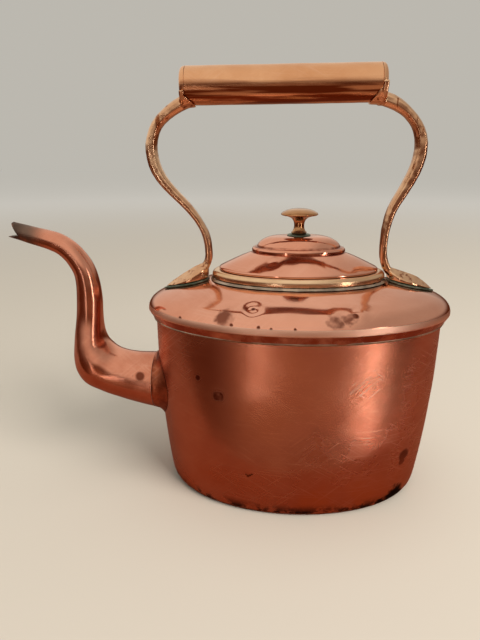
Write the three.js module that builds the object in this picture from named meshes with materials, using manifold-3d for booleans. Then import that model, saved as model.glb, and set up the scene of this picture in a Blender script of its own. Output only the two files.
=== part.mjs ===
// An old oval kettle in sheet copper, with a swan-neck spout, a fixed overhead handle in cast brass
// and a loose oval lid. Millimetres, +Z up. The origin is the middle of the base, on the table.
// The spout points to -X, the handle's two feet stand on the shoulder along X, and +Y is the back.

import * as THREE from 'three';
import { mergeVertices } from 'three/addons/utils/BufferGeometryUtils.js';
import Module from 'manifold-3d';

const wasm = await Module();
wasm.setup();

// ---- Driving dimensions ----

const OVAL = 0.615; // width over length, the same for the base, wall, shoulder, mouth and lid
const WALL = 1.2; // copper sheet of the body and the spout
const FLOOR = 1.5; // thicker copper of the base
const LID_SHEET = 1.0;
const GAP = 0.3; // room for solder, or play, between neighbouring pieces
const OVAL_SIDES = 40;
const ROUND_SIDES = 20;
const GRIP_SIDES = 24;

const SEAM_HEIGHT = 132.4; // top edge of the wall, hidden under the shoulder's hem
const RIM = 105; // greatest half-length of the shoulder
const RIM_OVERHANG = 5; // the rim stands this far outside the wall all round
const MOUTH = 55.6; // half-length of the hole in the shoulder
const MOUTH_HEIGHT = 154.8; // where the shoulder ends at the mouth
const COLLAR_TOP = 161.4; // the lid rests here
const SKIRT_DEPTH = 11; // how far the lid's skirt reaches down into the collar

const SPOUT_HEIGHT = 76; // axis of the spout where it leaves the body
const SPOUT_ROOT = -103.6; // where the spout meets its collar
const SPOUT_ROOT_RADIUS = 20.6;
const SPOUT_HOLE_RADIUS = 16;

const GRIP_RADIUS = 11.4;
const GRIP_LENGTH = 127.2;
const GRIP_CENTRE = [-13.7, 0, 278.2];
const GRIP_RISE = 1; // the hand-set grip stands this much higher at its right end
const CAP_LENGTH = 3.6; // what a grip end cap adds to the open tube
const SADDLE_LENGTH = 9;
const SADDLE_LIP = 3.4;
const SADDLE_WALL = 1.4;
const SADDLE_DEPTHS = { left: 4, right: 0.4 }; // the lip's top, below the grip's axis

const FOOT_HEEL = 62.4; // a leaf-shaped foot runs from here to its tip
const FOOT_TIP = 93.2;
const FOOT_HALF_WIDTH = 9.2;
const FOOT_SLOPE = 0.5; // fall of the leaf's two faces away from the ridge
const PAD = 1.2; // solder under a foot, with a gap below it and one above

const RIVET_RADIUS = 2;
const RIVET_HEAD_RADIUS = 4;
const RIVET_TOP = 3.3; // its blind end in the foot, above the shoulder's outer face
const RIVET_POSITIONS = { inner: 71.5, outer: 81 };
const RIVET_TILT = THREE.MathUtils.degToRad(13); // slope of the shoulder under the feet

// ---- Outlines: [half-length, height], from the bottom up and then in towards the axis ----

const WALL_OUTLINE = [
  [90.4, 1.9], [92.2, 5], [93.4, 10], [95.7, 28], [98, 54], [99.5, 82], [100, 106], [100, SEAM_HEIGHT],
];

// The shoulder's first three points are its hem, and the fourth the crease of its rim.
const SHOULDER_OUTLINE = [
  [101.7, 129.2], [102.6, 130.8], [104, 132.8], [RIM, 134.5], [104.9, 136.4], [104.2, 138.7],
  [102.6, 141.1], [99.8, 143.4], [96, 145.3], [91, 147], [84, 149.1], [75, 151.2], [65, 153.3],
  [MOUTH, MOUTH_HEIGHT],
];

const LID_OUTLINE = [
  [54.2, 161.8], [54.5, 162.6], [54, 163.4], [50.5, 165.2], [40.5, 169.9],
  [31.4, 173.6], [31.8, 174.8], [31.4, 176.2], [30.2, 177], [28.4, 177.2], [27.9, 178.4],
  [26, 180.6], [21, 183.3], [15, 184.4], [0, 184.4],
];
const LID_TOP = 184.4;

// The spout's section, from root to tip: where it crosses the kettle's middle plane on the side
// towards the handle, and on the side away from it, as [x, z, x, z].
const SPOUT_RIBS = [
  [SPOUT_ROOT, 96.4, SPOUT_ROOT, 54.9],
  [-117.1, 96.8, -115.6, 57.8],
  [-125.8, 98.2, -130.7, 62],
  [-132.4, 100.8, -145.1, 67.2],
  [-137, 104.8, -156.6, 73.5],
  [-139.5, 108.6, -162.5, 82.4],
  [-140.8, 113.4, -164.1, 92.4],
  [-141.1, 119.8, -163, 106.8],
  [-140.7, 129, -159.9, 125],
  [-140.3, 140, -158.2, 139.4],
  [-141.1, 150, -157.8, 150],
  [-143.2, 159.9, -158.6, 156.6],
  [-147, 168, -161.2, 162.2],
  [-153.1, 176.2, -164.9, 167.6],
  [-159.5, 181.6, -168.9, 171],
  [-166.1, 185.2, -173, 173],
  [-173.4, 187.3, -177.6, 174.8],
  [-182.1, 189.2, -185.9, 177.3],
  [-190.1, 191.2, -193.4, 179.8],
  [-197.9, 193, -201.8, 182.4],
];

// The open beak: a wedge taken out of the tip through both sides, as [x, z].
const BEAK_WEDGE = [[-193.4, 184], [-198.4, 192.6], [-206, 200], [-212, 182.4], [-201.8, 183.2]];

// The two uprights, from the grip down to the foot, as [x, z, half-thickness].
const UPRIGHT_ROWS = {
  left: [
    [-72.5, 269.6, 4], [-79.8, 266.2, 4], [-87.8, 261, 3.5], [-94, 254.6, 3.4], [-97.2, 247, 3.6],
    [-98, 239, 3.8], [-96.6, 230.5, 3.8], [-92.5, 222, 3.4], [-86, 214.2, 3.1], [-79, 207, 2.8],
    [-72, 199.4, 2.5], [-66.4, 191, 2.4], [-63, 183, 2.4], [-61.8, 175, 2.5], [-62, 168.4, 2.6],
    [-64.2, 163, 2.7], [-67.5, 160, 2.7],
  ],
  right: [
    [45.6, 270.4, 4], [53.8, 268.2, 4], [61.8, 264, 3.3], [68, 258.8, 3], [72.4, 253, 3.2],
    [75.2, 246, 3.6], [75.8, 238, 3.8], [74.2, 229.5, 3.7], [70.6, 220.4, 3.5], [66, 211.8, 3.3],
    [61.8, 203.6, 3.1], [59.2, 195.5, 2.8], [57.9, 187, 2.5], [57.5, 179, 2.3], [57.8, 172, 2.3],
    [59.2, 165.8, 2.4], [62, 161, 2.6], [65.5, 158, 2.6],
  ],
};
const UPRIGHT_HALF_DEPTHS = { top: 5, bottom: 4 };

// The ridge of each leaf-shaped foot, as [distance from the middle, height].
const FOOT_RIDGES = {
  left: [[60, 167.5], [68.3, 164.4], [75.5, 160.6], [83, 156], [94.6, 147]],
  right: [[60, 164.5], [66, 162.4], [74, 160], [83, 156.5], [94.8, 147]],
};

// ---- Working with solids ----

function solidOf(geometry) {
  const bare = geometry.index ? geometry.toNonIndexed() : geometry.clone();
  bare.deleteAttribute('normal');
  bare.deleteAttribute('uv');
  const merged = mergeVertices(bare, 1e-4);
  return new wasm.Manifold(new wasm.Mesh({
    numProp: 3,
    vertProperties: merged.attributes.position.array,
    triVerts: new Uint32Array(merged.index.array),
  }));
}

function geometryOf(solid) {
  const { vertProperties, triVerts } = solid.getMesh();
  const geometry = new THREE.BufferGeometry();
  geometry.setAttribute('position', new THREE.BufferAttribute(vertProperties, 3));
  geometry.setIndex(new THREE.BufferAttribute(triVerts, 1));
  geometry.computeVertexNormals();
  return geometry;
}

function areaOf(profile) {
  return profile.reduce((sum, [a, z, inset = 0], i) => {
    const [nextA, nextZ, nextInset = 0] = profile[(i + 1) % profile.length];
    return sum + ((a - inset) * nextZ - (nextA - nextInset) * z) / 2;
  }, 0);
}

// Turns a closed profile of [half-length, height, inset] points about Z. The inset comes off the
// half-length and the half-width alike, so a wall keeps its thickness all round an oval.
function turned(profile, ratio = OVAL, sides = OVAL_SIDES) {
  const outward = areaOf(profile) > 0 ? profile : [...profile].reverse();
  const start = outward.findIndex(([a]) => a === 0);
  const onAxis = start >= 0;
  const nextToo = onAxis && outward[(start + 1) % outward.length][0] === 0;
  const first = nextToo ? start + 1 : Math.max(start, 0);
  const ring = [...outward.slice(first), ...outward.slice(0, first)];
  if (!onAxis) ring.push(ring[0]);
  const geometry = new THREE.LatheGeometry(ring.map(([a, z]) => new THREE.Vector2(a, z)), sides);
  const place = geometry.attributes.position;
  for (let i = 0; i < place.count; i++) {
    const [a, z, inset = 0] = ring[i % ring.length];
    const turn = (Math.floor(i / ring.length) / sides) * 2 * Math.PI;
    place.setXYZ(i, (a - inset) * Math.cos(turn), (ratio * a - inset) * Math.sin(turn), z);
  }
  geometry.computeVertexNormals();
  return geometry;
}

// Round pieces are turned with a width equal to their length.
function turnedRound(profile, sides = ROUND_SIDES) {
  return turned(profile, 1, sides);
}

// Gives an outline a thickness inwards, as the closed profile of a sheet.
function sheet(outline, thickness) {
  const inside = outline.map(([a, z, inset = 0], i) => {
    const [beforeA, beforeZ, beforeInset = 0] = outline[Math.max(i - 1, 0)];
    const [afterA, afterZ, afterInset = 0] = outline[Math.min(i + 1, outline.length - 1)];
    const run = afterA - afterInset - beforeA + beforeInset;
    const rise = afterZ - beforeZ;
    const length = Math.hypot(run, rise);
    return [a, z + (thickness * run) / length, inset + (thickness * rise) / length];
  });
  return [...outline, ...inside.reverse()];
}

function curveThrough(points) {
  const route = points.map(([x, z]) => new THREE.Vector3(x, 0, z));
  return new THREE.CatmullRomCurve3(route, false, 'centripetal');
}

function valueAlong(values) {
  const curve = new THREE.SplineCurve(values.map((value, i) => new THREE.Vector2(i, value)));
  return (t) => curve.getPoint(t).y;
}

// Extrudes a section with the given number of steps, then lays it along a route: place(t) gives
// the route's point and the two directions that the section's own axes take there.
function laidAlong(section, steps, place, curveSegments = 6) {
  const options = { depth: 1, steps, curveSegments, bevelEnabled: false };
  const geometry = new THREE.ExtrudeGeometry(section, options);
  const position = geometry.attributes.position;
  for (let i = 0; i < position.count; i++) {
    const reach = Math.hypot(position.getX(i), position.getY(i));
    const { origin, across, deep } = place(position.getZ(i), reach);
    const point = origin.clone()
      .addScaledVector(across, position.getX(i))
      .addScaledVector(deep, position.getY(i));
    position.setXYZ(i, point.x, point.y, point.z);
  }
  geometry.computeVertexNormals();
  return geometry;
}

function polygon(points) {
  return new THREE.Shape(points.map(([x, y]) => new THREE.Vector2(x, y)));
}

// A bar with the given section along a route in the kettle's middle plane.
function bar(rows, section, steps, halfDepth) {
  const route = curveThrough(rows);
  const halfThickness = valueAlong(rows.map(([, , half]) => half));
  return laidAlong(section, steps, (t) => {
    const tangent = route.getTangent(t);
    const across = new THREE.Vector3(tangent.z, 0, -tangent.x).multiplyScalar(halfThickness(t));
    const deep = new THREE.Vector3(0, halfDepth(t), 0);
    return { origin: route.getPoint(t), across, deep };
  });
}

// A plate with a flat outline in X and Z, as thick in Y as asked.
function plateAcross(points, thickness) {
  const geometry = new THREE.ExtrudeGeometry(polygon(points), { depth: thickness, bevelEnabled: false });
  return geometry.rotateX(Math.PI / 2).translate(0, thickness / 2, 0);
}

// ---- Base, wall and shoulder ----

// The floor is a shallow dish: its turned-up edge is brazed inside the foot of the wall.
function basePlate() {
  const lip = WALL + GAP;
  return turned([
    [0, 0], [87.6, 0], [89.2, 0.7], [90.4, 2.4, lip - 0.4], [92.2, 5, lip], [93.2, 9, lip],
    [93.2, 9, lip + WALL], [92, 5, lip + WALL], [89.6, 2.6, lip + WALL], [86.5, FLOOR], [0, FLOOR],
  ]);
}

function bodyWall() {
  const wall = solidOf(turned(sheet(WALL_OUTLINE, WALL)));
  const hole = new THREE.CylinderGeometry(SPOUT_HOLE_RADIUS, SPOUT_HOLE_RADIUS, 30, ROUND_SIDES);
  hole.rotateZ(Math.PI / 2).translate(-97, 0, SPOUT_HEIGHT);
  return geometryOf(wall.subtract(solidOf(hole)));
}

// The shoulder's rim keeps an even overhang on the wall, which fades out towards the mouth.
function shoulderPoints(outline, raise = 0) {
  return outline.map(([halfLength, z]) => {
    const overhang = (RIM_OVERHANG * (halfLength - MOUTH)) / (RIM - MOUTH);
    return [halfLength - overhang, z + raise, -overhang];
  });
}

// Everything below the shoulder's outer face, with that face raised by a given amount.
function underShoulder(raise) {
  const dome = shoulderPoints(SHOULDER_OUTLINE.slice(3), raise);
  const [edge, , overhang] = dome[0];
  return solidOf(turned([[0, 120], [edge, 120, overhang], ...dome, [0, MOUTH_HEIGHT + raise]]));
}

function shoulder() {
  const dome = solidOf(turned(sheet(shoulderPoints(SHOULDER_OUTLINE), WALL)));
  return geometryOf(rivetHoles().reduce((solid, hole) => solid.subtract(hole), dome));
}

// The bright run of silver solder where the shoulder's hem grips the wall.
function seamSolder() {
  return turned([[100, 128.9, -1.7], [100, 127.9, -1.4], [100, 127.3, -0.4], [100, 128.9, -0.4]]);
}

// ---- Mouth ----

const COLLAR_PROFILE = [
  [MOUTH, 149.6, 0.4], [MOUTH, 155.1, 0.4], [57.8, 155.1], [59, 156.4], [59.4, 158.1], [59, 159.8],
  [57.7, 161], [56, COLLAR_TOP], [54.2, COLLAR_TOP], [53.4, 160.8], [53, 159.6], [53, 149.6],
];

function mouthCollar() {
  return turned(COLLAR_PROFILE);
}

function collarSolder() {
  return turned([[58.6, 154.8], [60.7, 154.6], [59.7, 156.1]]);
}

// Room around the collar and its solder, kept clear by the handle's feet.
function collarRoom() {
  return solidOf(turned([[0, 150], [62.2, 150], [62.2, 155.5], [59.9, 157], [59.4, 161.5], [0, 161.5]]));
}

// ---- Spout ----

// Each step of the spout is a circle that spans a rib. The section's rim has reach 1 and its hole
// reach 0.5, and the hole is drawn in to leave a wall of even thickness.
function spoutPlace(wall) {
  const near = curveThrough(SPOUT_RIBS.map(([x, z]) => [x, z]));
  const far = curveThrough(SPOUT_RIBS.map(([, , x, z]) => [x, z]));
  return (t, reach) => {
    const origin = near.getPoint(t).add(far.getPoint(t)).multiplyScalar(0.5);
    const across = near.getPoint(t).sub(origin);
    const radius = across.length();
    const scale = reach > 0.75 ? 1 : (2 * (radius - wall)) / radius;
    across.multiplyScalar(scale);
    return { origin, across, deep: new THREE.Vector3(0, radius * scale, 0) };
  };
}

function spout() {
  const section = new THREE.Shape().absarc(0, 0, 1, 0, 2 * Math.PI);
  section.holes.push(new THREE.Path().absarc(0, 0, 0.5, 0, 2 * Math.PI, true));
  const tube = solidOf(laidAlong(section, 26, spoutPlace(WALL), 8));
  return geometryOf(tube.subtract(solidOf(plateAcross(BEAK_WEDGE, 40))).simplify(0.02));
}

// The turned-out collar that carries the spout: its back edge is fitted to the oval wall.
function spoutCollar() {
  const front = SPOUT_ROOT + GAP;
  const inner = SPOUT_ROOT_RADIUS - WALL;
  const flare = [
    [inner, front], [20.9, front], [21.2, -102], [22.2, -99], [23.6, -96.5], [25, -88], [inner, -88],
  ];
  const ring = turnedRound(flare, 24).rotateY(Math.PI / 2).translate(0, 0, SPOUT_HEIGHT);
  const body = WALL_OUTLINE.map(([a, z]) => [a, z, -GAP]);
  const wall = solidOf(turned([[0, 1.9], ...body, [0, SEAM_HEIGHT]]));
  return geometryOf(solidOf(ring).subtract(wall));
}

// ---- Handle ----

const gripFrame = new THREE.Matrix4()
  .makeTranslation(...GRIP_CENTRE)
  .multiply(new THREE.Matrix4().makeRotationY(Math.PI / 2 - Math.atan(GRIP_RISE / GRIP_LENGTH)));

function onGrip(profile) {
  return turnedRound(profile, GRIP_SIDES).applyMatrix4(gripFrame);
}

function gripTube() {
  const end = GRIP_LENGTH / 2 - CAP_LENGTH;
  const bore = GRIP_RADIUS - WALL;
  return onGrip([[bore, -end], [GRIP_RADIUS, -end], [GRIP_RADIUS, end], [bore, end]]);
}

// A dished cap with a rounded edge, let into the open end of the grip.
function gripCap(side) {
  const face = GRIP_LENGTH / 2;
  const shoulderAt = face - CAP_LENGTH + GAP;
  const spigot = GRIP_RADIUS - WALL - GAP;
  const profile = [
    [0, face], [8.2, face], [10.1, face - 0.6], [11.1, face - 1.8], [GRIP_RADIUS, shoulderAt],
    [spigot, shoulderAt], [spigot, face - 9], [spigot - WALL, face - 9], [spigot - WALL, face - 2.6],
    [7.4, face - WALL], [0, face - WALL],
  ];
  return onGrip(profile.map(([radius, along]) => [radius, side * along]));
}

// The spoon-shaped half-sleeve at the head of an upright that cradles the grip's end from below.
function saddle(side, depth) {
  const inner = GRIP_RADIUS + GAP;
  const outer = inner + SADDLE_WALL;
  const end = GRIP_LENGTH / 2 - 0.2;
  const start = end - SADDLE_LENGTH;
  const lip = end - SADDLE_LIP;
  const profile = [
    [inner, start], [outer - 0.6, start], [outer - 0.2, lip], [outer + 0.4, lip + 0.5],
    [outer + 0.4, end - 0.5], [outer, end], [inner, end],
  ];
  const sleeve = solidOf(turnedRound(profile.map(([r, along]) => [r, side * along]), GRIP_SIDES));
  const spoon = [
    [depth, end + 1], [depth, lip], [depth + 3, lip], [outer - 1, start - 0.5], [20, start - 1],
    [20, end + 1],
  ];
  const kept = solidOf(plateAcross(spoon.map(([down, along]) => [down, side * along]), 40));
  return solidOf(geometryOf(sleeve.intersect(kept)).applyMatrix4(gripFrame));
}

// Outline of a leaf-shaped foot seen from above, with a margin all round.
function leaf(margin) {
  const width = FOOT_HALF_WIDTH + margin;
  const heel = FOOT_HEEL - margin * 0.1;
  const tip = FOOT_TIP + margin;
  const shape = new THREE.Shape();
  shape.moveTo(heel, -4.6 - margin);
  shape.quadraticCurveTo(67, -width, 73.5, -width);
  shape.quadraticCurveTo(83, -width, tip, -0.5);
  shape.lineTo(tip, 0.5);
  shape.quadraticCurveTo(83, width, 73.5, width);
  shape.quadraticCurveTo(67, width, heel, 4.6 + margin);
  return shape;
}

function leafPrism(side, margin) {
  const options = { depth: 60, curveSegments: 5, bevelEnabled: false };
  const geometry = new THREE.ExtrudeGeometry(leaf(margin), options).translate(0, 0, 125);
  return solidOf(side < 0 ? geometry.rotateZ(Math.PI) : geometry);
}

function foot(side, ridge) {
  const deep = 24;
  const roof = polygon([[0, 0], [deep, deep / FOOT_SLOPE], [deep, -deep / FOOT_SLOPE]]);
  const rows = ridge.map(([x, z]) => [x, z, 1]);
  const block = bar(rows, roof, 12, () => 1);
  const turnedBlock = side < 0 ? block.rotateZ(Math.PI) : block;
  return solidOf(turnedBlock).intersect(leafPrism(side, 0));
}

// An upright, its saddle and its foot are one brass casting.
function upright(name, side) {
  const section = polygon([
    [1, 0.45], [0.55, 1], [-0.55, 1], [-1, 0.45], [-1, -0.45], [-0.55, -1], [0.55, -1], [1, -0.45],
  ]);
  const { top, bottom } = UPRIGHT_HALF_DEPTHS;
  const arm = solidOf(bar(UPRIGHT_ROWS[name], section, 32, (t) => top + (bottom - top) * t));
  const room = GRIP_LENGTH / 2 + GAP;
  const clear = GRIP_RADIUS + GAP;
  const gripRoom = solidOf(onGrip([[0, -room], [clear, -room], [clear, room], [0, room]]));
  const casting = arm
    .add(saddle(side, SADDLE_DEPTHS[name]))
    .add(foot(side, FOOT_RIDGES[name]))
    .subtract(gripRoom)
    .subtract(underShoulder(PAD + 2 * GAP))
    .subtract(collarRoom());
  const holes = rivetHoles().filter((_, i) => (i < 2) === (side < 0));
  return geometryOf(holes.reduce((solid, hole) => solid.subtract(hole), casting));
}

// The solder bed between a foot and the shoulder.
function footSolder(side) {
  const bed = underShoulder(PAD + GAP).subtract(underShoulder(GAP)).intersect(leafPrism(side, 1));
  const clear = bed.subtract(collarRoom());
  return geometryOf(rivetHoles().reduce((solid, hole) => solid.subtract(hole), clear));
}

// ---- Rivets that hold the feet ----

const RIVET_PLACES = [-1, 1].flatMap((side) => Object.entries(RIVET_POSITIONS).map(([name, x]) => ({
  name: `foot_rivet_${side < 0 ? 'left' : 'right'}_${name}`,
  x: side * x,
  z: shoulderHeight(x),
  tilt: side * RIVET_TILT,
})));

function shoulderHeight(x) {
  const i = SHOULDER_OUTLINE.findIndex(([a], n) => n > 3 && a <= x);
  const [outerA, outerZ] = SHOULDER_OUTLINE[i - 1];
  const [innerA, innerZ] = SHOULDER_OUTLINE[i];
  return outerZ + ((innerZ - outerZ) * (outerA - x)) / (outerA - innerA);
}

function atRivet(profile, { x, z, tilt }) {
  return turnedRound(profile, 12).rotateY(tilt).translate(x, 0, z);
}

function rivetHoles() {
  const radius = RIVET_RADIUS + GAP;
  const drill = [[0, -6], [radius, -6], [radius, RIVET_TOP + GAP], [0, RIVET_TOP + GAP]];
  return RIVET_PLACES.map((place) => solidOf(atRivet(drill, place)));
}

function rivet(place) {
  const under = -WALL - GAP;
  return atRivet([
    [0, under - 1.9], [1.8, under - 1.7], [3.3, under - 1.1], [RIVET_HEAD_RADIUS, under - 0.3],
    [RIVET_HEAD_RADIUS, under], [RIVET_RADIUS, under], [RIVET_RADIUS, RIVET_TOP], [0, RIVET_TOP],
  ], place);
}

// ---- Lid and knob ----

const TANG_RADIUS = 2;

function lidDome() {
  const dome = solidOf(turned(sheet(LID_OUTLINE, LID_SHEET)));
  const hole = new THREE.CylinderGeometry(TANG_RADIUS + GAP, TANG_RADIUS + GAP, 10, 16);
  return geometryOf(dome.subtract(solidOf(hole.rotateX(Math.PI / 2).translate(0, 0, LID_TOP))));
}

// The deep ring under the lid that drops into the mouth and keeps the lid on when pouring.
function lidSkirt() {
  const bottom = COLLAR_TOP - SKIRT_DEPTH;
  return turned([[52, bottom], [52, 162.5], [52, 163, 0.9], [52, bottom, 0.9]]);
}

function knobRosette() {
  const bottom = LID_TOP + GAP;
  const hole = TANG_RADIUS + GAP;
  return turnedRound([
    [hole, bottom], [8, bottom], [7.6, bottom + 0.5], [5, bottom + 0.8], [hole, bottom + 0.8],
  ]);
}

const KNOB_BASE = LID_TOP + 1.4;

// A turned brass mushroom knob, with a tang through the lid.
function knob() {
  return turnedRound([
    [0, LID_TOP - 3.3], [TANG_RADIUS, LID_TOP - 3.3], [TANG_RADIUS, KNOB_BASE], [4.9, KNOB_BASE],
    [5.3, KNOB_BASE + 0.8], [4.5, KNOB_BASE + 1.7], [3.7, KNOB_BASE + 3.2], [3.4, KNOB_BASE + 5.6],
    [3.8, KNOB_BASE + 8], [5.4, KNOB_BASE + 10.2], [8.6, KNOB_BASE + 11.6], [11.9, KNOB_BASE + 12.3],
    [12.5, KNOB_BASE + 12.9], [12.1, KNOB_BASE + 13.7], [10.2, KNOB_BASE + 14.9],
    [7.2, KNOB_BASE + 16], [3.6, KNOB_BASE + 16.6], [0, KNOB_BASE + 16.7],
  ]);
}

// The washer that the knob's tang is peened over, inside the lid.
function knobBurr() {
  const top = LID_TOP - LID_SHEET - GAP;
  const hole = TANG_RADIUS + GAP;
  return turnedRound([[hole, top], [5.2, top], [5.2, top - 1], [hole, top - 1]], 16);
}

// ---- Assembly ----

const copper = new THREE.MeshStandardMaterial({ color: 0xb46a4e, metalness: 1, roughness: 0.22 });
const tinned = new THREE.MeshStandardMaterial({ color: 0x9c5a40, metalness: 1, roughness: 0.38 });
const brass = new THREE.MeshStandardMaterial({ color: 0xc99a5b, metalness: 1, roughness: 0.25 });
const solder = new THREE.MeshStandardMaterial({ color: 0x8f948a, metalness: 1, roughness: 0.45 });

const kettle = new THREE.Group();
const lid = new THREE.Group();
kettle.add(lid);

function add(group, name, geometry, material) {
  const mesh = new THREE.Mesh(geometry, material);
  mesh.name = name;
  group.add(mesh);
}

add(kettle, 'base_plate', basePlate(), tinned);
add(kettle, 'body_wall', bodyWall(), copper);
add(kettle, 'shoulder', shoulder(), copper);
add(kettle, 'seam_solder', seamSolder(), solder);
add(kettle, 'mouth_collar', mouthCollar(), brass);
add(kettle, 'collar_solder', collarSolder(), solder);
add(kettle, 'spout', spout(), copper);
add(kettle, 'spout_collar', spoutCollar(), copper);
add(kettle, 'grip_tube', gripTube(), brass);
for (const [name, side] of [['left', -1], ['right', 1]]) {
  add(kettle, `grip_cap_${name}`, gripCap(side), brass);
  add(kettle, `upright_${name}`, upright(name, side), brass);
  add(kettle, `foot_solder_${name}`, footSolder(side), solder);
}
for (const place of RIVET_PLACES) add(kettle, place.name, rivet(place), copper);

add(lid, 'lid_dome', lidDome(), copper);
add(lid, 'lid_skirt', lidSkirt(), copper);
add(lid, 'knob_rosette', knobRosette(), solder);
add(lid, 'knob', knob(), brass);
add(lid, 'knob_burr', knobBurr(), brass);

export default kettle;
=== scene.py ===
"""The looks of an old oval copper kettle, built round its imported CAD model.

Metres, +Z up. The origin is the middle of the base, the spout points to -X and +Y is the back.
"""

import math

import bmesh
import bpy
from mathutils import Matrix, Vector, noise


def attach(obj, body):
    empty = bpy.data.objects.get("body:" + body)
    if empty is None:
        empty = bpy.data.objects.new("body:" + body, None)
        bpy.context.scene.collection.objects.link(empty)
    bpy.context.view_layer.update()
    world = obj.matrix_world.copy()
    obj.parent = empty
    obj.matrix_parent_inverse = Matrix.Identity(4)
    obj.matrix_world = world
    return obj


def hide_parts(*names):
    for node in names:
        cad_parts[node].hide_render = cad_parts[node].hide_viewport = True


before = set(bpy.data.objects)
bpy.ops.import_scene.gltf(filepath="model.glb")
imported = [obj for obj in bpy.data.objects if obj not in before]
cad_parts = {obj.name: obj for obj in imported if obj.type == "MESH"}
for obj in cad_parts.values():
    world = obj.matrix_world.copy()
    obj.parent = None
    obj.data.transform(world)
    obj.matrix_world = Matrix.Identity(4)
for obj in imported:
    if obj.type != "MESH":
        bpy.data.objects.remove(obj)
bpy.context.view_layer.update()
scene = bpy.context.scene


# ---- Studio ----
# A pale floor under two soft lights. What the polished metal mirrors is kept apart from them: two tall
# narrow windows, a warm tabletop and the walls and floor of a room.

def linear(code):
    """The linear values of an sRGB hex colour, with alpha."""
    channels = [int(code[i:i + 2], 16) / 255 for i in (1, 3, 5)]
    return [c / 12.92 if c <= 0.04045 else ((c + 0.055) / 1.055) ** 2.4 for c in channels] + [1]


def add_node(tree, kind, inputs=None, **settings):
    """Adds a node with its settings. An input is a socket to link or a value, by name or place."""
    made = tree.nodes.new(kind)
    for name, value in settings.items():
        setattr(made, name, value)
    for name, value in (inputs or {}).items():
        if isinstance(value, bpy.types.NodeSocket):
            tree.links.new(value, made.inputs[name])
        else:
            made.inputs[name].default_value = value
    return made


def maths(tree, operation, *values):
    """The result of one sum on sockets or numbers."""
    return add_node(tree, "ShaderNodeMath", dict(enumerate(values)), operation=operation).outputs[0]


def between(tree, value, low, high):
    """A mask that rises smoothly from 0 at low to 1 at high. High may be the lesser one."""
    return add_node(tree, "ShaderNodeMapRange", {
        "Value": value, "From Min": low, "From Max": high}, interpolation_type="SMOOTHSTEP").outputs[0]


def blend(tree, share, first, second):
    """A colour that runs from the first to the second as the share goes from 0 to 1."""
    return add_node(tree, "ShaderNodeMix", {0: share, 6: first, 7: second}, data_type="RGBA").outputs[2]


PITCH = math.radians(17.708)
YAW = math.radians(2.852)
ROLL = math.radians(-0.122)

camera_data = bpy.data.cameras.new("camera")
camera_data.lens = 27.06
camera_data.sensor_width = 36
camera_data.clip_start = 0.01
camera = bpy.data.objects.new("camera", camera_data)
camera.matrix_world = (
    Matrix.Translation((-0.02375, -0.33162, 0.22935)) @ Matrix.Rotation(YAW, 4, "Z")
    @ Matrix.Rotation(math.pi / 2 - PITCH, 4, "X") @ Matrix.Rotation(ROLL, 4, "Z")
)
scene.collection.objects.link(camera)
scene.camera = camera
scene.view_settings.view_transform = "Standard"

world = bpy.data.worlds.new("studio")
world.use_nodes = True
world.node_tree.nodes["Background"].inputs["Color"].default_value = linear("#c3bfb6")
world.node_tree.nodes["Background"].inputs["Strength"].default_value = 0.92
scene.world = world


def soft_light(name, azimuth, elevation, distance, width, height, power, colour, mirrored):
    """A soft box that looks at the kettle. Azimuth 0 is the front and 90 the right.

    A mirrored one is only seen in the metal, and any other one only lights what isn't metal.
    """
    turn, lift = math.radians(azimuth), math.radians(elevation)
    way = Vector((math.sin(turn) * math.cos(lift), -math.cos(turn) * math.cos(lift), math.sin(lift)))
    data = bpy.data.lights.new(name, "AREA")
    data.shape = "RECTANGLE"
    data.size, data.size_y = width, height
    data.energy = power
    data.color = linear(colour)[:3]
    light = bpy.data.objects.new(name, data)
    light.location = Vector((0, 0, 0.12)) + way * distance
    light.rotation_euler = way.to_track_quat("Z", "Y").to_euler()
    light.visible_camera = False
    light.visible_glossy = mirrored
    light.visible_diffuse = not mirrored
    scene.collection.objects.link(light)


soft_light("key", 48, 38, 2.2, 1.2, 1.2, 46, "#fff3e8", mirrored=False)
soft_light("overhead", 20, 84, 1.9, 1.5, 1.5, 10, "#fff8f0", mirrored=False)
soft_light("window", 47.5, -12, 2.2, 0.12, 2, 8, "#fff1e6", mirrored=True)
soft_light("far_window", -19, -14, 3, 0.11, 1.6, 2.4, "#fff4ea", mirrored=True)


def stage_plane(name, corners, colour, sheen):
    """One flat face of the stage. Sheen is the strength of its gloss."""
    mesh = bpy.data.meshes.new(name)
    mesh.from_pydata(corners, [], [(0, 1, 2, 3)])
    plane = bpy.data.objects.new(name, mesh)
    scene.collection.objects.link(plane)
    material = bpy.data.materials.new(name)
    material.use_nodes = True
    shader = material.node_tree.nodes["Principled BSDF"]
    shader.inputs["Base Color"].default_value = linear(colour)
    shader.inputs["Roughness"].default_value = 0.3
    shader.inputs["Specular IOR Level"].default_value = sheen
    mesh.materials.append(material)
    return plane


FLOOR_REACH = 40
floor = stage_plane("floor", [
    (-FLOOR_REACH, -FLOOR_REACH, -0.0003), (FLOOR_REACH, -FLOOR_REACH, -0.0003),
    (FLOOR_REACH, FLOOR_REACH, -0.0003), (-FLOOR_REACH, FLOOR_REACH, -0.0003),
], "#cdc8be", 0)
floor.visible_glossy = False
floor.visible_shadow = False

# Far from the kettle the floor pales until it meets the backdrop without an edge.
floor_tree = floor.data.materials[0].node_tree
floor_place = add_node(floor_tree, "ShaderNodeTexCoord").outputs["Object"]
floor_reach = add_node(floor_tree, "ShaderNodeVectorMath", {0: floor_place}, operation="LENGTH")
floor_far = between(floor_tree, floor_reach.outputs["Value"], 0.5, 3.5)
floor_tone = blend(floor_tree, floor_far, linear("#cdc8be"), (1, 1, 1, 1))
floor_tree.links.new(floor_tone, floor_tree.nodes["Principled BSDF"].inputs["Base Color"])

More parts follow.
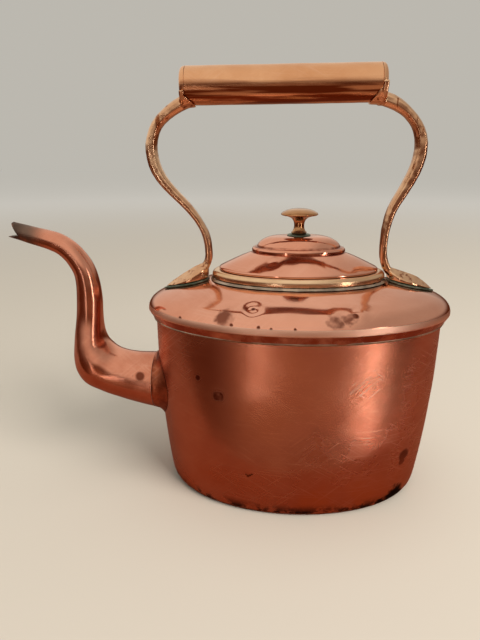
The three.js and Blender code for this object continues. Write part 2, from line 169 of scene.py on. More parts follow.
# What the metal mirrors below the horizon: a brown tabletop that no camera ray or light ray meets.
tabletop = stage_plane("mirrored_tabletop", [
    (-0.9, -0.1, -0.0001), (0.9, -0.1, -0.0001), (0.9, 0.34, -0.0001), (-0.9, 0.34, -0.0001),
], "#875034", 0.5)
tabletop.visible_camera = False
tabletop.visible_diffuse = False
tabletop.visible_shadow = False


def mirrored_room():
    """A shell that only reflections meet: pale walls and ceiling over a dim brown floor."""
    mesh = bpy.data.meshes.new("mirrored_room")
    shell = bmesh.new()
    bmesh.ops.create_icosphere(shell, subdivisions=4, radius=6)
    bmesh.ops.reverse_faces(shell, faces=shell.faces)
    shell.to_mesh(mesh)
    shell.free()
    room = bpy.data.objects.new("mirrored_room", mesh)
    scene.collection.objects.link(room)
    material = bpy.data.materials.new("mirrored_room")
    material.use_nodes = True
    tree = material.node_tree
    tree.nodes.clear()
    place = add_node(tree, "ShaderNodeTexCoord").outputs["Object"]
    way = add_node(tree, "ShaderNodeVectorMath", {0: place}, operation="NORMALIZE").outputs["Vector"]
    axes = add_node(tree, "ShaderNodeSeparateXYZ", {0: way}).outputs
    frontness = between(tree, axes["Y"], 0.35, -0.6)
    sideness = between(tree, maths(tree, "ABSOLUTE", axes["X"]), 0.3, 0.75)
    wall = blend(tree, frontness, linear("#cdc5b9"), linear("#d0c5b7"))
    wall = blend(tree, between(tree, axes["X"], 0.1, 0.7), wall, linear("#a1988d"))
    floor_tone = blend(tree, between(tree, axes["Z"], -0.06, -0.34), linear("#5a3a2a"), linear("#8c6650"))
    floor_tone = blend(tree, sideness, floor_tone, linear("#4c2612"))
    whole = blend(tree, between(tree, axes["Z"], -0.01, 0.26), floor_tone, wall)
    reflected_glow = add_node(tree, "ShaderNodeEmission", {"Color": whole, "Strength": 1.3})
    add_node(tree, "ShaderNodeOutputMaterial", {"Surface": reflected_glow.outputs[0]})
    mesh.materials.append(material)
    room.visible_camera = False
    room.visible_diffuse = False
    room.visible_shadow = False
    room.visible_transmission = False


mirrored_room()


# ---- Base ----
# A shallow oval dish of thick sheet copper, its turned-up edge brazed inside the foot of the wall.
# It stands on the hob, so its underside is dull, brown and sooty.

OVAL = 0.615  # width over length of every oval piece
WALL = 0.0012
GAP = 0.0003


def turning_tree():
    """Geometry Nodes that turn a profile about Z. A profile point is (half-length, inset, height)."""
    tree = bpy.data.node_groups.new("turned about Z", "GeometryNodeTree")
    for name, kind in (("Profile", "NodeSocketGeometry"), ("Sides", "NodeSocketInt"),
                       ("Width over length", "NodeSocketFloat"), ("Outside", "NodeSocketMaterial"),
                       ("Inside", "NodeSocketMaterial")):
        tree.interface.new_socket(name, in_out="INPUT", socket_type=kind)
    tree.interface.new_socket("Piece", in_out="OUTPUT", socket_type="NodeSocketGeometry")
    given = add_node(tree, "NodeGroupInput").outputs
    profile = given["Profile"]
    count = add_node(tree, "GeometryNodeAttributeDomainSize", {"Geometry": profile}).outputs["Point Count"]
    columns = maths(tree, "ADD", given["Sides"], 1.0)
    grid = add_node(tree, "GeometryNodeMeshGrid", {"Vertices X": count, "Vertices Y": columns})
    index = add_node(tree, "GeometryNodeInputIndex").outputs[0]
    rows = maths(tree, "DIVIDE", index, columns)
    row = maths(tree, "FLOOR", rows)
    column = maths(tree, "MODULO", index, columns)
    share = maths(tree, "DIVIDE", column, given["Sides"])
    turn = maths(tree, "MULTIPLY", share, math.tau)
    place = add_node(tree, "GeometryNodeInputPosition").outputs[0]
    point = add_node(tree, "GeometryNodeSampleIndex", {
        "Geometry": profile, "Value": place, "Index": row}, data_type="FLOAT_VECTOR").outputs["Value"]
    part = add_node(tree, "ShaderNodeSeparateXYZ", {0: point}).outputs
    length = maths(tree, "SUBTRACT", part["X"], part["Y"])
    width = maths(tree, "MULTIPLY", part["X"], given["Width over length"])
    width = maths(tree, "SUBTRACT", width, part["Y"])
    cosine = maths(tree, "COSINE", turn)
    sine = maths(tree, "SINE", turn)
    x = maths(tree, "MULTIPLY", length, cosine)
    y = maths(tree, "MULTIPLY", width, sine)
    goal = add_node(tree, "ShaderNodeCombineXYZ", {0: x, 1: y, 2: part["Z"]})
    inner = add_node(tree, "GeometryNodeInputNamedAttribute", {"Name": "inside"}).outputs["Attribute"]
    lined = add_node(tree, "GeometryNodeSampleIndex", {
        "Geometry": profile, "Value": inner, "Index": row}).outputs["Value"]
    moved = add_node(tree, "GeometryNodeSetPosition", {
        "Geometry": grid.outputs["Mesh"], "Position": goal.outputs[0]}).outputs[0]
    marked = add_node(tree, "GeometryNodeStoreNamedAttribute", {
        "Geometry": moved, "Name": "lined", "Value": lined}).outputs[0]
    joined = add_node(tree, "GeometryNodeMergeByDistance", {
        "Geometry": marked, "Distance": 1e-6}).outputs[0]
    smooth = add_node(tree, "GeometryNodeSetShadeSmooth", {"Geometry": joined}).outputs[0]
    real = add_node(tree, "GeometryNodeRealizeInstances", {"Geometry": smooth}).outputs[0]
    outside = add_node(tree, "GeometryNodeSetMaterial", {
        "Geometry": real, "Material": given["Outside"]}).outputs[0]
    stored = add_node(tree, "GeometryNodeInputNamedAttribute", {"Name": "lined"}).outputs["Attribute"]
    is_inner = add_node(tree, "FunctionNodeCompare", {0: stored, 1: 0.9}, operation="GREATER_THAN")
    both = add_node(tree, "GeometryNodeSetMaterial", {
        "Geometry": outside, "Selection": is_inner.outputs[0], "Material": given["Inside"]}).outputs[0]
    add_node(tree, "NodeGroupOutput", {"Piece": both})
    return tree


TURNED = turning_tree()


def new_piece(name, mesh):
    piece = bpy.data.objects.new(name, mesh)
    scene.collection.objects.link(piece)
    return piece


def settled(piece):
    """Turns a piece and its modifiers into one plain mesh."""
    bpy.context.view_layer.update()
    evaluated = piece.evaluated_get(bpy.context.evaluated_depsgraph_get())
    mesh = bpy.data.meshes.new_from_object(evaluated)
    mesh.name = piece.name
    piece.modifiers.clear()
    piece.data = mesh
    mesh.set_sharp_from_angle(angle=math.radians(38))
    return piece


def inputs_of(group):
    """The identifiers of a node group's inputs, by name."""
    return {item.name: item.identifier for item in group.interface.items_tree if item.in_out == "INPUT"}


def turned(name, profile, outside, inside=None, inside_from=None, ratio=OVAL, sides=224):
    """Turns a closed profile, or one that starts and ends on the axis, into an oval or round piece."""
    points = [Vector(p) for p in profile]
    lined = [inside_from is not None and i >= inside_from for i in range(len(points))]
    area = sum((p.x - p.y) * q.z - (q.x - q.y) * p.z for p, q in zip(points, points[1:] + points[:1]))
    if points[0].x > 0:
        points.append(points[0])
        lined.append(lined[0])
    if area > 0:
        points.reverse()
        lined.reverse()
    mesh = bpy.data.meshes.new(name)
    mesh.from_pydata(points, [(i, i + 1) for i in range(len(points) - 1)], [])
    mesh.attributes.new("inside", "FLOAT", "POINT").data.foreach_set("value", [float(v) for v in lined])
    piece = new_piece(name, mesh)
    modifier = piece.modifiers.new("turned", "NODES")
    modifier.node_group = TURNED
    sockets = inputs_of(TURNED)
    modifier[sockets["Sides"]] = sides
    modifier[sockets["Width over length"]] = ratio
    modifier[sockets["Outside"]] = outside
    modifier[sockets["Inside"]] = inside or outside
    return settled(piece)


def flowing(points, step=0.0015, count=None):
    """Points along a smooth curve through the given ones, about a step apart."""
    route = [Vector(p) for p in points]
    route = [2 * route[0] - route[1], *route, 2 * route[-1] - route[-2]]
    made = []
    for before, start, end, after in zip(route, route[1:], route[2:], route[3:]):
        knots = [0.0]
        for p, q in ((before, start), (start, end), (end, after)):
            knots.append(knots[-1] + math.sqrt((q - p).length))
        parts = count or max(1, round((end - start).length / step))
        for k in range(parts):
            t = knots[1] + (knots[2] - knots[1]) * k / parts
            a = before.lerp(start, (t - knots[0]) / (knots[1] - knots[0]))
            b = start.lerp(end, (t - knots[1]) / (knots[2] - knots[1]))
            c = end.lerp(after, (t - knots[2]) / (knots[3] - knots[2]))
            a = a.lerp(b, (t - knots[0]) / (knots[2] - knots[0]))
            c = b.lerp(c, (t - knots[1]) / (knots[3] - knots[1]))
            made.append(a.lerp(c, (t - knots[1]) / (knots[2] - knots[1])))
    return made + [route[-2]]


def in_metres(points):
    """Millimetre outline points (half-length, height, inset) as (half-length, inset, height)."""
    return [Vector((p[0], p[2] if len(p) > 2 else 0, p[1])) / 1000 for p in points]


def sheet(outline, thickness=WALL):
    """The closed profile of a sheet whose outer face follows an outline, and where its inside starts."""
    inside = []
    for i, here in enumerate(outline):
        along = outline[min(i + 1, len(outline) - 1)] - outline[max(i - 1, 0)]
        run = Vector((along.x - along.y, along.z)).normalized() * thickness
        inside.append(here + Vector((0, run.y, run.x)))
    return outline + inside[::-1], len(outline)


def noisy(tree, place, size, detail=3.0, rough=0.55, low=0.35, high=0.65):
    """A cloudy mask, 0 to 1, whose blotches are about as large as given, in metres."""
    cloud = add_node(tree, "ShaderNodeTexNoise", {
        "Vector": place, "Scale": 0.5 / size, "Detail": detail, "Roughness": rough}).outputs[0]
    return between(tree, cloud, low, high)


def product(tree, *masks):
    """A mask that is 1 only where all the given ones are."""
    made = masks[0]
    for mask in masks[1:]:
        made = maths(tree, "MULTIPLY", made, mask)
    return made


SCRATCH_DEPTH = 0.000003
SCRATCH_SHAPE = (0.032, 0.032, 0.0009)  # a line's length along and into the metal, and its spacing


def rubbed_metal(name, fresh, aged, gloss, haze, blotch, scratch, ripple=0.00002):
    """Metal rubbed by hand: fresh where the polish bites, aged where the oxide has come back.

    Gloss and haze are the least and most roughness, blotch is the size of its cloudy tone, scratch is how
    clearly the fine crossing polish lines show, painted lighter as a glint, 0 to 1, and ripple is in
    metres.
    """
    material = bpy.data.materials.new(name)
    material.use_nodes = True
    tree = material.node_tree
    shader = tree.nodes["Principled BSDF"]
    shader.inputs["Metallic"].default_value = 1
    place = add_node(tree, "ShaderNodeTexCoord").outputs["Object"]
    tone = noisy(tree, place, blotch, detail=5.0)
    fine = noisy(tree, place, blotch / 6, detail=4.0)
    mixed = maths(tree, "MULTIPLY_ADD", fine, 0.22, tone)
    share = maths(tree, "MULTIPLY", mixed, 0.8)
    colour = blend(tree, share, linear(fresh), linear(aged))
    lines = None
    for angle in (33, -41, 3):
        turned_place = add_node(tree, "ShaderNodeMapping", {
            "Vector": place, "Rotation": (0, math.radians(angle), math.radians(angle / 3)),
            "Scale": SCRATCH_SHAPE}, vector_type="TEXTURE").outputs[0]
        streak = add_node(tree, "ShaderNodeTexNoise", {
            "Vector": turned_place, "Scale": 1.0, "Detail": 2.0}).outputs[0]
        line = add_node(tree, "ShaderNodeMapRange", {
            "Value": streak, "From Min": 0.58, "From Max": 0.76}).outputs[0]
        lines = line if lines is None else maths(tree, "MAXIMUM", lines, line)
    patch = noisy(tree, place, blotch * 0.8, low=0.25, high=0.6)
    scored = product(tree, lines, patch)
    scratches_and_glint = maths(tree, "MULTIPLY", scored, scratch)
    # Painted highlight: the polish lines are lightened towards pale pink, standing in for the light they
    # catch; they are also made a little rougher and sunk.
    colour = blend(tree, scratches_and_glint, colour, linear("#ffd9c4"))
    cloudy = maths(tree, "MULTIPLY_ADD", fine, 0.35, patch)
    base = add_node(tree, "ShaderNodeMapRange", {
        "Value": cloudy, "From Max": 1.35, "To Min": gloss, "To Max": haze}).outputs[0]
    rough = maths(tree, "MULTIPLY_ADD", scratches_and_glint, 0.06, base)
    swell = noisy(tree, place, 0.011, detail=1.0, low=0.2, high=0.8)
    waves = maths(tree, "MULTIPLY", swell, ripple)
    relief = maths(tree, "MULTIPLY_ADD", scratches_and_glint, -SCRATCH_DEPTH, waves)
    bump = add_node(tree, "ShaderNodeBump", {"Height": relief, "Distance": 1.0}).outputs[0]
    tree.links.new(colour, shader.inputs["Base Color"])
    tree.links.new(rough, shader.inputs["Roughness"])
    tree.links.new(bump, shader.inputs["Normal"])
    return material


def stain_and_painted_light(material, mask, colour, rough):
    """Lays a dull film over a metal wherever the mask is 1. It lays real stains, and also painted
    reflections and highlights.
    """
    tree = material.node_tree
    shader = tree.nodes["Principled BSDF"]
    clean = shader.inputs["Base Color"].links[0].from_socket
    tree.links.new(blend(tree, mask, clean, linear(colour)), shader.inputs["Base Color"])
    polish = shader.inputs["Roughness"].links[0].from_socket
    dulled = add_node(tree, "ShaderNodeMix", {0: mask, 2: polish, 3: rough})
    tree.links.new(dulled.outputs[0], shader.inputs["Roughness"])


def object_place(material):
    """The point being coloured, and its three axes."""
    tree = material.node_tree
    place = add_node(tree, "ShaderNodeTexCoord").outputs["Object"]
    return tree, place, add_node(tree, "ShaderNodeSeparateXYZ", {0: place}).outputs


def seat(piece, body, slot, *nodes):
    """Hands a finished piece to the body it moves with, and hides the CAD nodes it stands for. Its slot is
    not used.
    """
    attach(piece, body)
    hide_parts(*nodes)


# Wiped tin: a thin molten wash over the copper inside the kettle, soft grey and cloudy.
# Hard water has dulled it to a chalky film.
wiped_tin = rubbed_metal("wiped tin lining", "#b9b6ae", "#8b877e", 0.34, 0.5, 0.02, 0.1)
wiped_tin.node_tree.nodes["Principled BSDF"].inputs["Metallic"].default_value = 0.35

# Fire-scaled copper: dull brown, with soot where the flame licks.
scaled_copper = rubbed_metal("fire-scaled sheet copper", "#8f5238", "#4a2a1e", 0.36, 0.55, 0.018, 0.1)

base = turned("base_plate_dish", in_metres([
    (0, 0), (86.4, 0), (87.6, 0.1), (89.2, 0.7), (90.4, 2.4, 1.1), (92.2, 5, 1.5), (93.2, 9, 1.5),
    (93.2, 9, 2.7), (92, 5, 2.7), (89.6, 2.6, 2.7), (88.3, 1.75), (86.5, 1.5), (0, 1.5),
]), scaled_copper, wiped_tin, inside_from=7)
seat(base, "kettle", "base_copper", "base_plate")


# ---- Wall ----
# One sheet of copper rolled to an oval, its two ends brazed at the back in a dovetailed seam, then
# planished and rubbed. Years of heat and handling leave spots, a nick and a sooty lower edge.

WALL_OUTLINE = [
    (90.4, 1.9), (92.2, 5), (93.4, 10), (95.7, 28), (98, 54), (99.5, 82), (100, 106), (100, 132.4),
]
SPOUT_HEIGHT = 0.076
SPOUT_HOLE = 0.016

red_copper = rubbed_metal("rubbed red sheet copper", "#d48f74", "#bb7259", 0.2, 0.28, 0.06, 0.3, 0.000008)


def round_marks(tree, place, marks, ragged=0.003):
    """A mask of soft round marks. Each is a centre and a radius in metres, with a ragged edge."""
    cloud = add_node(tree, "ShaderNodeTexNoise", {"Vector": place, "Scale": 170.0, "Detail": 2.0})
    offset = add_node(tree, "ShaderNodeVectorMath", {
        0: cloud.outputs["Color"], 1: (0.5, 0.5, 0.5)}, operation="SUBTRACT").outputs[0]
    offset = add_node(tree, "ShaderNodeVectorMath", {
        0: offset, "Scale": ragged}, operation="SCALE").outputs[0]
    moved = add_node(tree, "ShaderNodeVectorMath", {0: place, 1: offset}).outputs[0]
    made = None
    for centre, radius in marks:
        apart = add_node(tree, "ShaderNodeVectorMath", {
            0: moved, 1: centre}, operation="DISTANCE").outputs["Value"]
        mark = between(tree, apart, radius, radius * 0.55)
        made = mark if made is None else maths(tree, "MAXIMUM", made, mark)
    return made


def wall_marks(material):
    tree, place, axes = object_place(material)
    # It was rubbed round and round, so its highlights draw out upwards.
    shader = tree.nodes["Principled BSDF"]
    round_it = add_node(tree, "ShaderNodeTangent", direction_type="RADIAL", axis="Z").outputs[0]
    tree.links.new(round_it, shader.inputs["Tangent"])
    shader.inputs["Anisotropic"].default_value = 0.75
    spots = round_marks(tree, place, [
        ((-0.0654, -0.0463, 0.0981), 0.0026), ((-0.052, -0.0522, 0.0884), 0.0048),
        ((0.0743, -0.038, 0.0395), 0.0058), ((0.0738, -0.0382, 0.034), 0.0036),
        ((0.049, 0.0535, 0.07), 0.004), ((-0.02, 0.0595, 0.046), 0.003),
    ])
    stain_and_painted_light(material, product(tree, spots, noisy(tree, place, 0.004, low=0.1, high=0.5)), "#6a3020", 0.4)
    nick = round_marks(tree, place, [
        ((-0.0338, -0.0556, 0.032), 0.0009), ((-0.0325, -0.0556, 0.0309), 0.0014),
        ((-0.0311, -0.0558, 0.0318), 0.0011), ((-0.0298, -0.056, 0.0328), 0.0009),
    ], ragged=0.0008)
    stain_and_painted_light(material, nick, "#34160e", 0.45)
    # Painted reflection: the foot of the wall is lightened to orange in cloudy patches, standing in for the
    # warm tabletop mirrored in it.
    reflected_glow = between(tree, axes["Z"], 0.05, 0.0)
    stain_and_painted_light(material, product(tree, reflected_glow, noisy(tree, place, 0.02, low=0.3, high=0.7)), "#cf7548", 0.3)
    # The brazed seam at the back shows as a thin yellow zigzag of dovetails.
    zigzag = maths(tree, "PINGPONG", axes["Z"], 0.006)
    aside = maths(tree, "SUBTRACT", axes["X"], zigzag)
    off_seam = maths(tree, "ABSOLUTE", aside)
    seam_line = product(tree, between(tree, off_seam, 0.0007, 0.0003), between(tree, axes["Y"], 0.01, 0.02))
    stain_and_painted_light(material, seam_line, "#d8b070", 0.3)
    # Soot creeps up from the lower edge in ragged patches, and most at the right front.
    low_edge = between(tree, axes["Z"], 0.012, 0.002)
    ragged = noisy(tree, place, 0.007, detail=6.0, rough=0.7, low=0.42, high=0.56)
    stain_and_painted_light(material, product(tree, low_edge, ragged), "#2b120b", 0.6)
    scorched = round_marks(tree, place, [
        ((0.0705, -0.0356, 0.0045), 0.0115), ((0.0605, -0.0402, 0.001), 0.0075),
        ((0.046, -0.0475, 0.001), 0.0035), ((0.008, -0.0555, 0.001), 0.003),
    ], ragged=0.012)
    stain_and_painted_light(material, scorched, "#140a08", 0.7)


wall_marks(red_copper)

wall_profile, inner_start = sheet(flowing(in_metres(WALL_OUTLINE), 0.003))
wall = turned("body_wall_sheet", wall_profile, red_copper, wiped_tin, inner_start, sides=288)


def worked(piece, depth, size, dents=(), keep=lambda point: 1.0, upright=False):
    """Moves the points of a sheet, both faces alike, by hand-work ripples and by dents.

    Each dent is a centre, a radius and a depth. A sheet moves along Z, or outwards if it is upright.
    """
    for vertex in piece.data.vertices:
        here = vertex.co
        way = Vector((here.x * OVAL, here.y / OVAL, 0)).normalized() if upright else Vector((0, 0, 1))
        spot = here.copy() if upright else here - way * here.dot(way)
        ripple = noise.noise(spot / size) + 0.4 * noise.noise(spot / size * 2.3 + Vector((7, 3, 1)))
        move = depth * ripple * keep(here)
        for centre, radius, deep in dents:
            apart = here - Vector(centre)
            apart -= way * apart.dot(way)
            near = apart.length / radius
            if near < 2.5:
                move -= deep * math.exp(-2 * near * near) * (1 - 0.35 * math.cos(7 * near))
        vertex.co = here + way * move
    piece.data.update()


def wall_keep(point):
    """The ripples die out at the seam and the base, and where the spout's flange sits."""
    ends = min(1, max(0, (point.z - 0.006) / 0.02)) * min(1, max(0, (0.124 - point.z) / 0.02))
    spout_side = min(1, max(0, ((point - Vector((-0.098, 0, SPOUT_HEIGHT))).length - 0.028) / 0.02))
    return ends * spout_side


worked(wall, 0.00022, 0.034, [
    ((-0.0323, -0.0556, 0.0311), 0.0022, 0.0005), ((0.0413, -0.0532, 0.0303), 0.004, 0.0003),
    ((0.0049, -0.0596, 0.0451), 0.0016, 0.00025), ((0.03, 0.057, 0.055), 0.009, 0.0004),
], wall_keep, upright=True)


def cut(piece, cutter):
    """Takes a closed shape out of a piece."""
    modifier = piece.modifiers.new("cut", "BOOLEAN")
    modifier.operation = "DIFFERENCE"
    modifier.solver = "EXACT"
    modifier.object = cutter
    settled(piece)
    bpy.data.objects.remove(cutter)


def rod(name, start, end, radius, sides=64):
    """A plain closed rod to cut with."""
    start, end = Vector(start), Vector(end)
    shape = bmesh.new()
    bmesh.ops.create_cone(
        shape, cap_ends=True, segments=sides, radius1=radius, radius2=radius, depth=(end - start).length)
    mesh = bpy.data.meshes.new(name)
    shape.to_mesh(mesh)
    shape.free()
    turn = (end - start).to_track_quat("Z", "Y").to_matrix().to_4x4()
    mesh.transform(Matrix.Translation((start + end) / 2) @ turn)
    return new_piece(name, mesh)


cut(wall, rod("spout_hole", (-0.115, 0, SPOUT_HEIGHT), (-0.08, 0, SPOUT_HEIGHT), SPOUT_HOLE))
seat(wall, "kettle", "body_copper", "body_wall")


# ---- Shoulder ----
# A second sheet raised over a stake to a low oval dome, with an overhanging rolled rim. It is the
# brightest copper: a pink mirror, a little wavy, with two old knocks and a scatter of dark specks.

RIM = 105
RIM_OVERHANG = 5
MOUTH = 55.6
SHOULDER_HEM = [(101.7, 129.2), (102.6, 130.8), (104, 132.8), (RIM, 134.5)]
SHOULDER_DOME = [
    (RIM, 134.5), (104.9, 136.4), (104.2, 138.7), (102.6, 141.1), (99.8, 143.4), (96, 145.3), (91, 147),
    (84, 149.1), (75, 151.2), (65, 153.3), (MOUTH, 154.8),
]


def overhung(outline):
    """An even overhang on the wall at the rim, which fades out towards the mouth."""
    made = []
    for half_length, height in outline:
        overhang = RIM_OVERHANG * (half_length - MOUTH) / (RIM - MOUTH)
        made.append((half_length - overhang, height, -overhang))
    return in_metres(made)


pink_copper = rubbed_metal(
    "mirror-polished pink sheet copper", "#eeb097", "#dd987d", 0.06, 0.14, 0.05, 0.12)


def shoulder_marks(material):
    tree, place, axes = object_place(material)
    specks = round_marks(tree, place, [
        ((-0.0426, -0.0602, 0.1394), 0.0015), ((-0.0265, -0.0639, 0.139), 0.0015),
        ((-0.0189, -0.065, 0.1388), 0.0011), ((-0.0758, -0.0455, 0.1387), 0.0017),
        ((-0.0298, -0.0523, 0.1478), 0.0022), ((-0.005, -0.0661, 0.1388), 0.0012),
        ((-0.07, -0.031, 0.146), 0.0009), ((-0.066, -0.034, 0.146), 0.0008),
        ((0.031, -0.058, 0.145), 0.0024), ((0.052, 0.041, 0.147), 0.002), ((-0.04, 0.05, 0.147), 0.0015),
    ], ragged=0.0015)
    stain_and_painted_light(material, specks, "#6e3826", 0.35)
    # Both knocks have gone a dull brown inside.
    bruises = round_marks(tree, place, [
        ((-0.0465, -0.0567, 0.1426), 0.0075), ((0.0185, -0.0625, 0.1418), 0.0062),
        ((0.027, -0.0595, 0.1445), 0.0056)], ragged=0.009)
    stain_and_painted_light(material, product(tree, bruises, noisy(tree, place, 0.006, low=0.25, high=0.6)), "#8a5443", 0.2)
    rim = between(tree, axes["Z"], 0.1348, 0.1335)
    stain_and_painted_light(material, product(tree, rim, noisy(tree, place, 0.008, low=0.2, high=0.6)), "#a4523a", 0.3)
    # The edge of the rim is scuffed to a rougher band, and its colour is painted paler as a painted
    # highlight of the light it catches.
    edge_top = between(tree, axes["Z"], 0.139, 0.1376)
    scuffed_edge_and_highlight = product(tree, between(tree, axes["Z"], 0.1338, 0.1346), edge_top)
    stain_and_painted_light(material, scuffed_edge_and_highlight, "#f6c8b2", 0.42)


shoulder_marks(pink_copper)

dome_points = flowing(overhung(SHOULDER_HEM), 0.0012)[:-1] + flowing(overhung(SHOULDER_DOME), 0.0012)
shoulder_profile, inner_start = sheet(dome_points)
shoulder = turned("shoulder_dome", shoulder_profile, pink_copper, wiped_tin, inner_start, sides=320)


def shoulder_keep(point):
    """The ripples die out at the rim, at the collar and under the handle's feet."""
    reach = math.hypot(point.x, point.y / OVAL)
    ends = min(1, max(0, (0.108 - reach) / 0.014)) * min(1, max(0, (reach - 0.058) / 0.008))
    foot = min(1, max(0, (abs(point.y) - 0.009) / 0.008)) if abs(point.x) > 0.05 else 1
    return ends * foot * min(1, max(0, (point.z - 0.1345) / 0.003))


worked(shoulder, 0.00026, 0.024, [
    ((-0.0298, -0.0523, 0.1478), 0.0085, 0.0011), ((-0.037, -0.0535, 0.146), 0.016, 0.0004),
    ((-0.029, -0.052, 0.1478), 0.003, -0.0003), ((0.0235, -0.0605, 0.143), 0.0062, 0.0006),
    ((0.034, -0.0565, 0.145), 0.006, -0.0004),
    ((0.02, 0.052, 0.147), 0.012, 0.0005),
], shoulder_keep)
seat(shoulder, "kettle", "shoulder_copper", "shoulder")


# ---- Solder under the rim ----
# Soft solder run round by hand where the shoulder grips the wall: a bright, slightly lumpy grey line.

bright_solder = rubbed_metal("wiped soft solder", "#c9b9a8", "#8d7f72", 0.24, 0.42, 0.006, 0, 0.00008)


def lumpy(piece, depth, size):
    """Pushes each point along its own normal by a small random swell, as run solder has."""
    normals = [v.normal.copy() for v in piece.data.vertices]
    for vertex, normal in zip(piece.data.vertices, normals):
        here = vertex.co / size
        vertex.co += normal * depth * (noise.noise(here) + 0.5 * noise.noise(here * 2.7))
    piece.data.update()


seam = turned("seam_solder_run", in_metres([
    (100, 128.95, -1.75), (100, 128.5, -1.95), (100, 127.9, -1.75), (100, 127.4, -1.2),
    (100, 127.2, -0.4), (100, 128.95, -0.4),
]), bright_solder, sides=512)
lumpy(seam, 0.00016, 0.006)
seat(seam, "kettle", "solder", "seam_solder")


# ---- Mouth collar ----
# A drawn brass ring set in the mouth, rolled outwards at the top as a seat for the lid. Its rubbed
# face is bright yellow, with grey-green corrosion where the cloth can't reach.

yellow_brass = rubbed_metal("polished yellow brass", "#f6d6b2", "#dbb28a", 0.17, 0.26, 0.03, 0.1)


def collar_marks(material):
    tree, place, axes = object_place(material)
    low_edge = between(tree, axes["Z"], 0.1575, 0.156)
    flecks = noisy(tree, place, 0.003, detail=5.0, low=0.4, high=0.6)
    stain_and_painted_light(material, product(tree, low_edge, flecks), "#5f6a58", 0.5)


collar_marks(yellow_brass)
collar = turned("mouth_collar_ring", flowing(in_metres([
    (MOUTH, 149.6, 0.4), (MOUTH, 155.1, 0.4), (57.8, 155.1),
]), 0.001)[:-1] + flowing(in_metres([
    (57.8, 155.1), (59, 156.4), (59.4, 158.1), (59, 159.8), (57.7, 161), (56, 161.4), (54.2, 161.4),
    (53.4, 160.8), (53, 159.6), (53, 149.6),
]), 0.0006), yellow_brass, sides=288)
collar_bed = turned("collar_solder_fillet", in_metres([
    (58.6, 154.8), (60.6, 154.6), (60.1, 155.2), (59.7, 156), (59, 155.6),
]), bright_solder, sides=512)
lumpy(collar_bed, 0.00018, 0.004)
seat(collar, "kettle", "collar_brass", "mouth_collar")
seat(collar_bed, "kettle", "solder", "collar_solder")


# ---- Spout ----
# A copper tube, filled with lead or pitch, bent to a swan neck and melted out again. It swells into
# the body at the root, and the beak at its tip is snipped open. The tip has tarnished grey-brown.

SPOUT_RIBS = [
    (-103.6, 96.4, -103.6, 54.9), (-117.1, 96.8, -115.6, 57.8), (-125.8, 98.2, -130.7, 62),
    (-132.4, 100.8, -145.1, 67.2), (-137, 104.8, -156.6, 73.5), (-139.5, 108.6, -162.5, 82.4),
    (-140.8, 113.4, -164.1, 92.4), (-141.1, 119.8, -163, 106.8), (-140.7, 129, -159.9, 125),
    (-140.3, 140, -158.2, 139.4), (-141.1, 150, -157.8, 150), (-143.2, 159.9, -158.6, 156.6),
    (-147, 168, -161.2, 162.2), (-153.1, 176.2, -164.9, 167.6), (-159.5, 181.6, -168.9, 171),
    (-166.1, 185.2, -173, 173), (-173.4, 187.3, -177.6, 174.8), (-182.1, 189.2, -185.9, 177.3),
    (-190.1, 191.2, -193.4, 179.8), (-197.9, 193, -201.8, 182.4),
]
BEAK_WEDGE = [(-193.4, 184), (-198.4, 192.6), (-206, 200), (-212, 182.4), (-201.8, 183.2)]
SPOUT_SIDES = 64


def lofted(name, rings, material, inside=None):
    """Joins a closed loop of rings into one skin. The second half of the rings is the inside."""
    count = len(rings[0])
    points = [point for ring in rings for point in ring]
    faces = []
    for r in range(len(rings)):
        after = (r + 1) % len(rings)
        for s in range(count):
            t = (s + 1) % count
            faces.append((r * count + s, after * count + s, after * count + t, r * count + t))
    mesh = bpy.data.meshes.new(name)
    mesh.from_pydata(points, [], faces)
    mesh.materials.append(material)
    if inside:
        mesh.materials.append(inside)
        half = len(rings) // 2
        for face in mesh.polygons:
            face.material_index = int(face.index // count >= half)
    mesh.shade_smooth()
    skin = bmesh.new()
    skin.from_mesh(mesh)
    if skin.calc_volume(signed=True) < 0:
        bmesh.ops.reverse_faces(skin, faces=skin.faces)
    skin.to_mesh(mesh)
    skin.free()
    return new_piece(name, mesh)


def spout_rings(wall_thickness, sides=SPOUT_SIDES):
    """A circle for each step along the ribs, which are (near x, near z, far x, far z)."""
    made = []
    for near_x, near_z, far_x, far_z in flowing([Vector(rib) / 1000 for rib in SPOUT_RIBS], count=6):
        centre = Vector(((near_x + far_x) / 2, 0, (near_z + far_z) / 2))
        across = Vector((near_x, 0, near_z)) - centre
        radius = across.length
        inner = (radius - wall_thickness) / radius
        ring = []
        for s in range(sides):
            turn = math.tau * s / sides
            arm = across * math.cos(turn) + Vector((0, radius * math.sin(turn), 0))
            beaten = 1 + 0.00016 / radius * noise.noise((centre + arm) / 0.011)
            ring.append(centre + arm * inner * beaten)
        made.append(ring)
    return made


tube_copper = rubbed_metal("burnished copper tube", "#e8a48a", "#c6785c", 0.13, 0.22, 0.03, 0.15)


def spout_marks(material):
    tree, place, axes = object_place(material)
    tip = between(tree, axes["X"], -0.172, -0.187)
    cloudy = noisy(tree, place, 0.006, detail=6.0, rough=0.65, low=0.2, high=0.55)
    stain_and_painted_light(material, product(tree, tip, cloudy), "#7d675b", 0.4)
    lips = between(tree, axes["X"], -0.186, -0.197)
    speckled = noisy(tree, place, 0.003, detail=5.0, low=0.3, high=0.6)
    stain_and_painted_light(material, product(tree, lips, speckled), "#574840", 0.5)
    spots = round_marks(tree, place, [
        ((-0.1116, -0.018, 0.0855), 0.0042), ((-0.117, -0.0185, 0.086), 0.0012),
        ((-0.131, -0.016, 0.094), 0.001), ((-0.112, 0.018, 0.08), 0.003)], ragged=0.0015)
    stain_and_painted_light(material, spots, "#7d4432", 0.34)


spout_marks(tube_copper)

